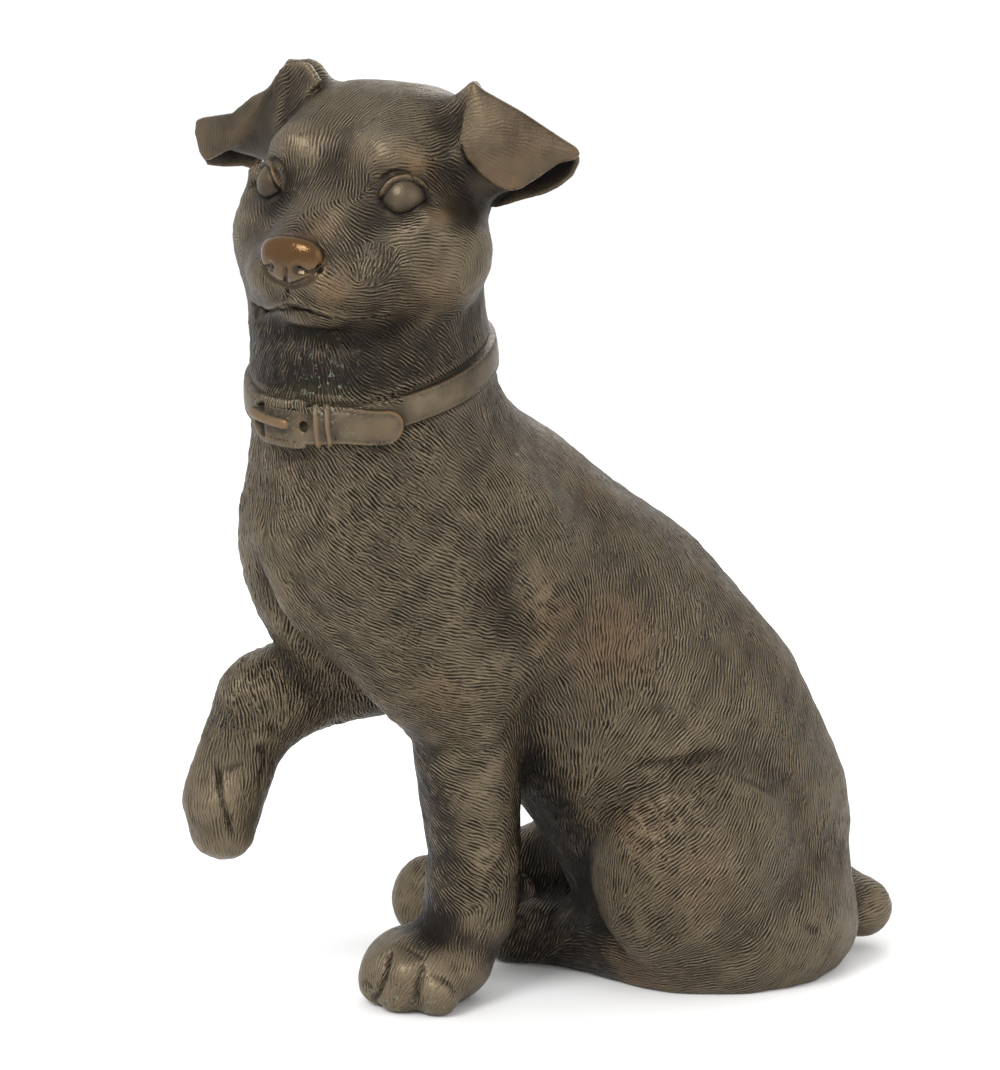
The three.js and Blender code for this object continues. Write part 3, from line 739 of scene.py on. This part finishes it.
print("laying the coat")
coat = {
    "spacing": 1.768, "length": 3.6, "across": 0.95,  # mm, of the tufts
    "body": 0.34, "chest": 0.62, "face": 0.22, "paw": 0.14, "relief": 1.6,  # how high they stand
    "shortest": 0.45, "turned": 9,  # least height of a tuft, spread of its turn in degrees
    "blend": 8, "batch": 40000,  # mm between guides that blend, points worked at a time
    "seed": 7,
}
strokes = {  # picture x, y and the way the hair runs there, in degrees from level
    "face": [
        (302, 135, 90), (357, 165, 90), (385, 162, 15), (415, 165, -5), (442, 192, -50), (470, 190, -30),
        (385, 220, -30), (415, 222, 0), (442, 247, -5), (415, 276, 0), (442, 276, -20), (442, 304, -40),
        (470, 275, -75), (385, 304, -15), (330, 247, -60), (330, 304, -25), (249, 247, 70), (357, 107, 70),
        (412, 107, 10), (440, 135, 30),
    ],
    "throat": [
        (276, 360, 40), (302, 360, 70), (330, 360, -70), (357, 360, -30), (385, 360, -25), (442, 360, -30),
        (412, 336, -40), (470, 332, -60), (385, 387, -20),
    ],
    "chest": [
        (274, 472, -75), (302, 472, -60), (357, 472, -45), (412, 472, -35), (470, 445, -25), (495, 415, -60),
        (250, 500, -80), (302, 527, -55), (330, 555, -45), (357, 555, -30), (412, 555, -30), (442, 582, -20),
        (385, 610, -25), (357, 637, -15), (442, 637, -15), (495, 582, -35), (495, 637, -5), (274, 582, -60),
        (302, 637, 80), (330, 667, 85), (357, 690, -75),
    ],
    "leg": [
        (412, 702, -20), (470, 695, -10), (442, 750, -15), (470, 780, -15), (442, 807, -35), (470, 835, -20),
        (442, 862, -45), (470, 890, -30), (497, 920, 80), (470, 945, 75), (400, 960, 75), (440, 985, 60),
    ],
    "flank": [
        (525, 500, -65), (555, 500, -40), (610, 500, -50), (637, 527, -65), (610, 555, 90), (555, 555, -50),
        (555, 610, -40), (555, 667, -45), (610, 610, 88), (637, 637, 78), (695, 610, 90), (720, 582, -50),
        (750, 610, -50), (695, 667, 65), (750, 667, 75), (610, 695, -80), (555, 695, -65), (637, 725, 55),
        (695, 745, 45), (750, 722, 65), (805, 695, 88), (555, 750, 85), (805, 780, 80), (832, 835, 90),
    ],
    "haunch": [
        (637, 807, 20), (695, 807, 45), (750, 807, 60), (610, 862, 80), (665, 862, 35), (720, 890, 50),
        (777, 890, 60), (665, 920, 45), (720, 975, 10), (637, 975, 15), (805, 945, 60), (868, 905, 20),
    ],
    "raisedLeg": [
        (247, 695, -65), (274, 695, -80), (217, 725, 75), (245, 750, -85), (217, 780, 88), (195, 807, 90),
        (302, 712, 75),
    ],
}
spots, lays = [], []
for guides in strokes.values():
    for px, py, slant in guides:
        spot, facing = skin.ray_cast(eyePoint, sightLine(px, py))[:2]
        if spot is None:
            print("   a guide misses the figure:", px, py)
            continue
        lay = eyeTurn @ Vector((cos(radians(slant)), sin(radians(slant)), 0))
        lay = (lay - facing * lay.dot(facing)).normalized()
        spots.append(np.array(spot) / mm)
        lays.append(np.array(lay))
        if facing.x < 0.97:  # the far side carries the same lay, mirrored through the figure
            farSpot = mirrorBody(spot) if spot.z < figure["earsAbove"] else mirrorHead(spot)
            spots.append(np.array(farSpot) / mm)
            lays.append(np.array((-lay.x, lay.y, lay.z)))
spots, lays = np.array(spots), np.array(lays)
normals = readNormals(cast.data)


def layOfHair(points, normals):  # the lay of the hair at points, along the skin
    out = np.zeros_like(points)
    for start in range(0, len(points), coat["batch"]):
        chosen = slice(start, start + coat["batch"])
        part = points[chosen] / mm
        away = ((part[:, None, :] - spots[None]) ** 2).sum(2)
        weight = 1 / (away + coat["blend"] ** 2) ** 2
        spread = np.einsum("nk,ki,kj->nij", weight, lays, lays)
        up = normals[chosen]
        a = np.cross(up, np.array((0.31, 0.22, 0.92)))
        a /= np.linalg.norm(a, axis=1)[:, None]
        b = np.cross(up, a)
        aa = np.einsum("ni,nij,nj->n", a, spread, a)
        bb = np.einsum("ni,nij,nj->n", b, spread, b)
        ab = np.einsum("ni,nij,nj->n", a, spread, b)
        turn = 0.5 * np.arctan2(2 * ab, aa - bb)
        out[chosen] = a * np.cos(turn)[:, None] + b * np.sin(turn)[:, None]
    return out


angle, along, across, reach = roundNeck(points)
local = headPoints(points)
onHeadNow = partOfHead(points, local)
body = points / mm - np.array(offset)
notCollar = np.clip(smoothStep(8, 11, np.abs(across)) + (reach > 78), 0, 1)
eyeFar = fromEither(local, eyeMiddle)
nosePlace = (0, -61, -21.2)
noseFar = np.linalg.norm((local - nosePlace) * (1, 1, 1.3), axis=1)
earPart = smoothStep(45, 50, np.abs(local[:, 0])) * (local[:, 2] > -6) * onHeadNow
bare = notCollar * smoothStep(13, 17, eyeFar) * smoothStep(14, 18, noseFar) * (1 - earPart)
lips = np.ones(len(points))
jaw = np.flatnonzero(onHeadNow & (local[:, 1] < -22) & (local[:, 2] < -30) & (local[:, 2] > -58))
lipFar = np.minimum(alongLine(points[jaw], nearMouth)[0], alongLine(points[jaw], farMouth)[0]) / mm
lips[jaw] = smoothStep(1.5, 4, lipFar)
bare = bare * lips
chestPart = (1 - smoothStep(-70, -45, body[:, 1])) * (body[:, 2] > 110) * (body[:, 2] < 262)
throatPart = onHeadNow * (1 - smoothStep(-62, -45, local[:, 2]))
pawPart = (1 - smoothStep(20, 55, body[:, 2])) * (body[:, 1] < 20)
depth = coat["body"] + (coat["chest"] - coat["body"]) * np.clip(chestPart + throatPart, 0, 1)
depth = np.where(onHeadNow & (throatPart < 0.3), coat["face"], depth)
depth = depth + (coat["paw"] - depth) * pawPart
depth = depth * bare * (points[:, 2] > 0.003)

random = np.random.default_rng(coat["seed"])
order = random.permutation(len(points))
cell = np.floor(points[order] / (coat["spacing"] * mm)).astype(np.int64)
first = np.unique(cell, axis=0, return_index=True)[1]
centres = order[first]
lay = layOfHair(points[centres], normals[centres])
tall = random.uniform(coat["shortest"], 1.0, len(centres))
turned = np.radians(random.normal(0, coat["turned"], len(centres)))
offLay = lay * np.cos(turned)[:, None] + np.cross(normals[centres], lay) * np.sin(turned)[:, None]
side = np.cross(normals[centres], offLay)
rise = np.zeros(len(points))
pointTree = KDTree(len(points))
for i, at in enumerate(points):
    pointTree.insert(at, i)
pointTree.balance()
kept = np.flatnonzero(depth[centres] > 0.02)
print("  ", len(kept), "tufts")
for i in kept:
    at = centres[i]
    found = pointTree.find_range(points[at], coat["length"] * mm)
    who = np.array([f[1] for f in found])
    d = (points[who] - points[at]) / mm
    u, w = d @ offLay[i], d @ side[i]
    shape = bell(w, coat["across"]) * np.maximum(0, 1 - (u / coat["length"]) ** 2)
    rise[who] += tall[i] * shape
rise = rise / max(np.percentile(rise[depth > 0.02], 97), tiny)
points += normals * ((np.clip(rise, 0, 1.2) - 0.5) * depth * coat["relief"] * mm)[:, None]
# gentle hollows and swells of hand-modelled clay
wave = np.sin(body @ np.array((0.11, 0.07, 0.05)) + 1.0) * np.sin(body @ np.array((-0.06, 0.12, 0.09)) + 2.0)
wave += 0.6 * np.sin(body @ np.array((0.21, -0.16, 0.13))) * np.sin(body @ np.array((0.15, 0.19, -0.2)) + 0.7)
points += normals * (0.45 * wave * bare * (1 - 0.6 * onHeadNow) * mm)[:, None]
points[:, 2] = np.maximum(points[:, 2], 0)
writePoints(cast.data, points)

# down to the working number of triangles, then what the finish needs at each point
print("reducing the mesh")
thin = cast.modifiers.new("reduce", "DECIMATE")
cast.data.calc_loop_triangles()
thin.ratio = figure["triangles"] / len(cast.data.loop_triangles)
thin.use_collapse_triangulate = True
applyModifiers(cast)
cast.name = "castTerrier"
editMesh(cast, lambda form: bmesh.ops.recalc_face_normals(form, faces=form.faces))
print("  ", len(cast.data.polygons), "triangles")

points = readPoints(cast.data)
edges = readEdges(cast.data)
normals = readNormals(cast.data)
angle, along, across, reach = roundNeck(points)
local = headPoints(points)
body = points / mm - np.array(offset)
onHeadNow = partOfHead(points, local)
lowered = np.where((angle > 10) & (angle < 80), 2.2 * smoothStep(46, 78, angle), 0)
onStrap = 1 - smoothStep(6.0, 7.4, np.abs(across + lowered))
onStrap = onStrap * ((reach < 78) & (points[:, 2] > 0.2))
eyeFar = fromEither(local, eye["centre"])
onEyeball = 1 - smoothStep(9.7, 10.2, eyeFar)
noseLocal = (local - nosePlace) / (15.5, 9, 11.2)
onNose = (1 - smoothStep(0.95, 1.1, np.linalg.norm(noseLocal, axis=1))) * (local[:, 1] < -55)
noseTint = onNose * (0.3 + 0.7 * smoothStep(-25, -18, local[:, 2]))
onEar = smoothStep(44, 49, np.abs(local[:, 0])) * smoothStep(-8, -3, local[:, 2]) * onHeadNow
upperHead = onHeadNow * smoothStep(-56, -46, local[:, 2])
nearEyes = 1 - smoothStep(10, 15, eyeFar)
hair = (1 - onStrap) * (1 - onEyeball) * (1 - onNose) * (1 - 0.86 * onEar) * (1 - 0.42 * upperHead)
hair = hair * (1 - 0.7 * nearEyes)
standingPaw = (1 - smoothStep(20, 42, body[:, 2])) * (body[:, 1] < 0)
raisedPaw = (1 - smoothStep(92, 120, body[:, 2])) * (body[:, 1] < -88) * (body[:, 2] > 60)
hair = hair * (1 - 0.45 * np.clip(standingPaw + raisedPaw, 0, 1))  # paws are worn smoother
acrossHair = np.cross(normals, layOfHair(points, normals))

# how hollow or proud each point lies, at three sizes
hollow = np.zeros(len(points))
smooth = points.copy()
finest = 4
for rounds, scale, gain in ((finest, 0.25, 0.35), (16, 0.7, 0.4), (60, 1.8, 0.5)):
    for _ in range(rounds):
        smooth = smooth + (average(smooth, edges) - smooth) * 0.6
    gap = np.einsum("ni,ni->n", smooth - points, normals) / mm  # above 0 in a hollow
    hollow += gain * np.clip(gap / scale, -1.5, 1.5)
    if rounds == finest:
        edgeWear = smoothStep(0.12, 0.34, average(-gap, edges))
hollow = average(hollow, edges)
warm = np.zeros(len(points))
warmSpots = [  # picture point, reach in mm, strength
    ((430, 176), 7, 1.0), ((413, 166), 6, 0.7), ((612, 640), 17, 0.75), ((560, 620), 14, 0.5),
    ((330, 295), 8, 0.7), ((440, 214), 5, 0.6), ((310, 232), 9, 0.5), ((505, 385), 9, 0.45),
    ((420, 300), 14, 0.35), ((640, 830), 16, 0.3), ((630, 975), 14, 0.6), ((575, 945), 10, 0.5),
    ((700, 880), 20, 0.25), ((525, 140), 18, 0.35), ((437, 700), 14, 0.3), ((265, 170), 5, 0.5),
    ((240, 130), 12, 0.3), ((590, 480), 20, 0.3), ((765, 640), 20, 0.3),
]
skin = buildTree(cast.data)
for (px, py), size, strength in warmSpots:
    spot = skin.ray_cast(eyePoint, sightLine(px, py))[0]
    if spot is None:
        continue
    for at in (spot, mirrorBody(spot)):
        warm = np.maximum(warm, strength * bell(farFrom(points, np.array(at)) / mm, size))
edgeWear = edgeWear * np.clip(onStrap + onEar * 0.35 + 0.6 * nearEyes, 0, 1) * (1 - onEyeball)
# painted shade: the colour is darkened under the jaw above the collar, on the inner sides between the legs,
# and over the head, more on the ears and eyeballs
throatShade = (1 - smoothStep(-56, -44, local[:, 2])) * onHeadNow
throatShade = throatShade * (1 - smoothStep(-30, 0, local[:, 1])) * smoothStep(7, 12, np.abs(across))
between = (1 - smoothStep(-2, 8, np.abs(body[:, 0] + 5) - 34)) * smoothStep(-62, -40, body[:, 1])
between = between * (1 - smoothStep(120, 150, body[:, 2])) * (body[:, 0] < 36) * (body[:, 1] < 60)
faceShade = onHeadNow * (0.22 + 0.3 * onEar + 0.35 * onEyeball)
shade = np.clip(0.7 * throatShade + between + faceShade, 0, 1)
toes = (1 - smoothStep(4, 16, body[:, 2])) * (body[:, 1] < 10)
throatSpot = np.array(skin.ray_cast(eyePoint, sightLine(320, 392))[0])
throat = bell(farFrom(points, throatSpot), 16 * mm)

for name, values in {
    "hair": hair, "hollow": hollow, "warm": warm, "edgeWear": edgeWear, "shade": shade,
    "noseTip": onNose, "noseTint": noseTint, "verdigris": np.clip(throat + toes, 0, 1),
    "smoothCast": np.clip(onStrap + onEyeball + onNose + 0.8 * onEar + 0.5 * nearEyes, 0, 1),
}.items():
    layer = cast.data.attributes.new(name, "FLOAT", "POINT")
    layer.data.foreach_set("value", np.clip(values, -2, 2).astype(np.float32))
layer = cast.data.attributes.new("acrossHair", "FLOAT_VECTOR", "POINT")
layer.data.foreach_set("vector", acrossHair.astype(np.float32).ravel())

# bronze, read from the attributes kept above
print("mixing the bronze")
for face in cast.data.polygons:
    face.use_smooth = True

bronzeLook = {
    "dark": (0.0075, 0.0052, 0.0032, 1), "mid": (0.047, 0.035, 0.0215, 1), "pale": (0.155, 0.119, 0.074, 1),
    "warm": (0.150, 0.078, 0.032, 1), "nose": (0.085, 0.042, 0.013, 1), "green": (0.20, 0.24, 0.19, 1),
    "dirt": (0.060, 0.052, 0.016, 1),
    "stroke": 215.0, "steep": 3.2, "fineSteep": 1.3,  # hair strokes: scale and slopes
    "pits": 520.0, "grain": 800, "grainDepth": 0.0003, "grainShare": 0.55, "wander": 0.0022,
    "metallic": 0.72,
}
toneShares = {
    "mean": 0.5, "broad": 0.45, "fine": 0.6, "hair": 6.5, "hollow": -0.24, "shade": -0.6, "pits": -0.6,
}
glossShares = {"noseTip": -0.24, "smoothCast": -0.06, "hollow": 0.2}
bronze = bpy.data.materials.new("bronze")
bronze.use_nodes = True
tree = bronze.node_tree
shader = tree.nodes["Principled BSDF"]


def node(kind, **settings):
    made = tree.nodes.new(kind)
    for key, value in settings.items():
        setattr(made, key, value)
    return made


def link(source, target):
    tree.links.new(source, target)


def figures(operation, a, b=None, clamp=False):
    made = node("ShaderNodeMath", operation=operation, use_clamp=clamp)
    for socket, value in zip(made.inputs, (a, b)):
        if value is None:
            continue
        if isinstance(value, (int, float)):
            socket.default_value = value
        else:
            link(value, socket)
    return made.outputs[0]


def times(a, b):
    return figures("MULTIPLY", a, b)


def plus(total, value, share, clamp=False):  # adds a share of a value, or takes it off below 0
    return figures("ADD", total, times(value, share), clamp)


def kept(name, output="Fac"):
    return node("ShaderNodeAttribute", attribute_name=name).outputs[output]


def spread(value, low, high, to=0.0, top=1.0):
    made = node("ShaderNodeMapRange")
    made.clamp = True
    link(value, made.inputs["Value"])
    made.inputs["From Min"].default_value = low
    made.inputs["From Max"].default_value = high
    made.inputs["To Min"].default_value = to
    made.inputs["To Max"].default_value = top
    return made.outputs[0]


def blendColours(share, a, b):
    made = node("ShaderNodeMix", data_type="RGBA")
    link(share, made.inputs[0])
    for socket, value in ((made.inputs[6], a), (made.inputs[7], b)):
        if isinstance(value, tuple):
            socket.default_value = value
        else:
            link(value, socket)
    return made.outputs[2]


def noise(scale, detail, rough=0.55):
    made = node("ShaderNodeTexNoise")
    link(where, made.inputs["Vector"])
    made.inputs["Scale"].default_value = scale
    made.inputs["Detail"].default_value = detail
    made.inputs["Roughness"].default_value = rough
    return made.outputs[0]


def hairStrokes(scale, frequency, bend, steep):  # height and slope of the strokes across the hair
    made = node("ShaderNodeTexGabor", gabor_type="3D")
    link(bend, made.inputs["Vector"])
    made.inputs["Scale"].default_value = scale
    made.inputs["Frequency"].default_value = frequency
    made.inputs["Anisotropy"].default_value = 1.0
    link(kept("acrossHair", "Vector"), made.inputs[5])
    swing = figures("COSINE", times(made.outputs["Phase"], 2 * pi))
    return made.outputs["Value"], times(times(swing, made.outputs["Intensity"]), steep)


where = node("ShaderNodeTexCoord").outputs["Object"]
# hair strokes wander a little, as a modelling tool leaves them
wander = node("ShaderNodeTexNoise")
link(where, wander.inputs["Vector"])
wander.inputs["Scale"].default_value = 120
wander.inputs["Detail"].default_value = 1
moved = node("ShaderNodeVectorMath", operation="MULTIPLY_ADD")
link(wander.outputs["Color"], moved.inputs[0])
moved.inputs[1].default_value = (bronzeLook["wander"],) * 3
link(where, moved.inputs[2])
bent = moved.outputs[0]

hair = kept("hair")
hollow = kept("hollow")
broad, broadSlope = hairStrokes(bronzeLook["stroke"], 3.2, bent, bronzeLook["steep"])
fine, fineSlope = hairStrokes(bronzeLook["stroke"] * 1.9, 3.0, bent, bronzeLook["fineSteep"])
relief = times(hair, spread(noise(38, 2), 0.35, 0.65, 0.55, 1.0))
hairHeight = times(figures("SUBTRACT", plus(times(broad, 0.72), fine, 0.28), 0.5), relief)
pits = node("ShaderNodeTexVoronoi", feature="F1")
link(where, pits.inputs["Vector"])
pits.inputs["Scale"].default_value = bronzeLook["pits"]
pitDepth = spread(pits.outputs["Distance"], 0.05, 0.34, 1.0, 0.0)
pit = times(times(pitDepth, spread(noise(30, 2), 0.48, 0.62)), hair)

slope = times(figures("ADD", broadSlope, fineSlope), relief)
tilt = node("ShaderNodeVectorMath", operation="SCALE")
link(kept("acrossHair", "Vector"), tilt.inputs[0])
link(slope, tilt.inputs["Scale"])
leaning = node("ShaderNodeVectorMath", operation="ADD")
link(node("ShaderNodeNewGeometry").outputs["Normal"], leaning.inputs[0])
link(tilt.outputs[0], leaning.inputs[1])
upright = node("ShaderNodeVectorMath", operation="NORMALIZE")
link(leaning.outputs[0], upright.inputs[0])
grainBump = node("ShaderNodeBump")
grainBump.inputs["Strength"].default_value = bronzeLook["grainShare"]
grainBump.inputs["Distance"].default_value = bronzeLook["grainDepth"]
link(plus(noise(bronzeLook["grain"], 2, 0.65), pit, -1.6), grainBump.inputs["Height"])
link(upright.outputs[0], grainBump.inputs["Normal"])
link(grainBump.outputs[0], shader.inputs["Normal"])

# darker in the hollows and between the strokes, with painted shade under the jaw, between the legs and over
# the head; paler and warmer where hands and weather rub it
tone = plus(toneShares["mean"], figures("SUBTRACT", noise(9, 2), 0.5), toneShares["broad"])
tone = plus(tone, figures("SUBTRACT", noise(70, 2, 0.6), 0.5), toneShares["fine"])
tone = plus(tone, hairHeight, toneShares["hair"])
tone = plus(tone, hollow, toneShares["hollow"])
# painted shade: the shade attribute darkens the colour under the jaw, between the legs and over the head
tone = plus(tone, kept("shade"), toneShares["shade"])
tone = plus(tone, pit, toneShares["pits"], clamp=True)
rub = times(kept("warm"), spread(tone, 0.2, 0.75))
edgeRub = times(kept("edgeWear"), spread(noise(26, 3), 0.4, 0.62, 0.35, 1.0))
green = kept("verdigris")
colour = blendColours(spread(tone, 0.0, 0.5), bronzeLook["dark"], bronzeLook["mid"])
for share, name in (
    (spread(tone, 0.45, 1.0), "pale"),
    (figures("MAXIMUM", times(rub, 0.7), edgeRub), "warm"),
    (times(kept("noseTint"), spread(hollow, 0.5, -0.3)), "nose"),
    (times(times(green, spread(noise(420, 2, 0.7), 0.60, 0.68)), 0.8), "green"),
    (times(times(green, spread(hollow, 0.2, 0.9)), 0.4), "dirt"),
):
    colour = blendColours(share, colour, bronzeLook[name])
link(colour, shader.inputs["Base Color"])

shader.inputs["Metallic"].default_value = bronzeLook["metallic"]
gloss = spread(noise(55, 3), 0.3, 0.7, 0.40, 0.56)
for name in ("noseTip", "smoothCast"):
    gloss = plus(gloss, kept(name), glossShares[name])
gloss = plus(gloss, spread(hollow, 0.0, 1.0), glossShares["hollow"], clamp=True)
link(gloss, shader.inputs["Roughness"])
cast.data.materials.clear()
cast.data.materials.append(bronze)

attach(cast, "root")
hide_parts("terrier")

# floor and soft studio light
studio = {"floorHalf": 9, "paint": (0.9, 0.9, 0.9, 1), "rough": 0.8, "sky": 1.15, "aim": (0, 0, 200)}
lamps = {  # sculptor's mm, size in m, watts
    "key": {"at": (700, -1300, 1400), "size": 0.8, "power": 22},
    "fill": {"at": (1500, 500, 600), "size": 1.4, "power": 6},
    "rim": {"at": (-900, 900, 1100), "size": 0.8, "power": 6},
}
form = bmesh.new()
bmesh.ops.create_grid(form, x_segments=1, y_segments=1, size=studio["floorHalf"])
floor = newPiece("floor", form)
floorPaint = bpy.data.materials.new("floorPaint")
floorPaint.use_nodes = True
paint = floorPaint.node_tree.nodes["Principled BSDF"]
paint.inputs["Base Color"].default_value = studio["paint"]
paint.inputs["Roughness"].default_value = studio["rough"]
floor.data.materials.append(floorPaint)

world = bpy.data.worlds.new("studio")
world.use_nodes = True
sky = world.node_tree.nodes["Background"]
sky.inputs["Color"].default_value = (1, 1, 1, 1)
sky.inputs["Strength"].default_value = studio["sky"]
bpy.context.scene.world = world
bpy.context.scene.view_settings.view_transform = "Standard"

for name, lamp in lamps.items():
    lampData = bpy.data.lights.new(name, "AREA")
    lampData.energy = lamp["power"]
    lampData.size = lamp["size"]
    light = bpy.data.objects.new(name, lampData)
    bpy.context.scene.collection.objects.link(light)
    light.location = place(*lamp["at"])
    light.rotation_euler = (place(*studio["aim"]) - light.location).to_track_quat("-Z", "Y").to_euler()

print("done")
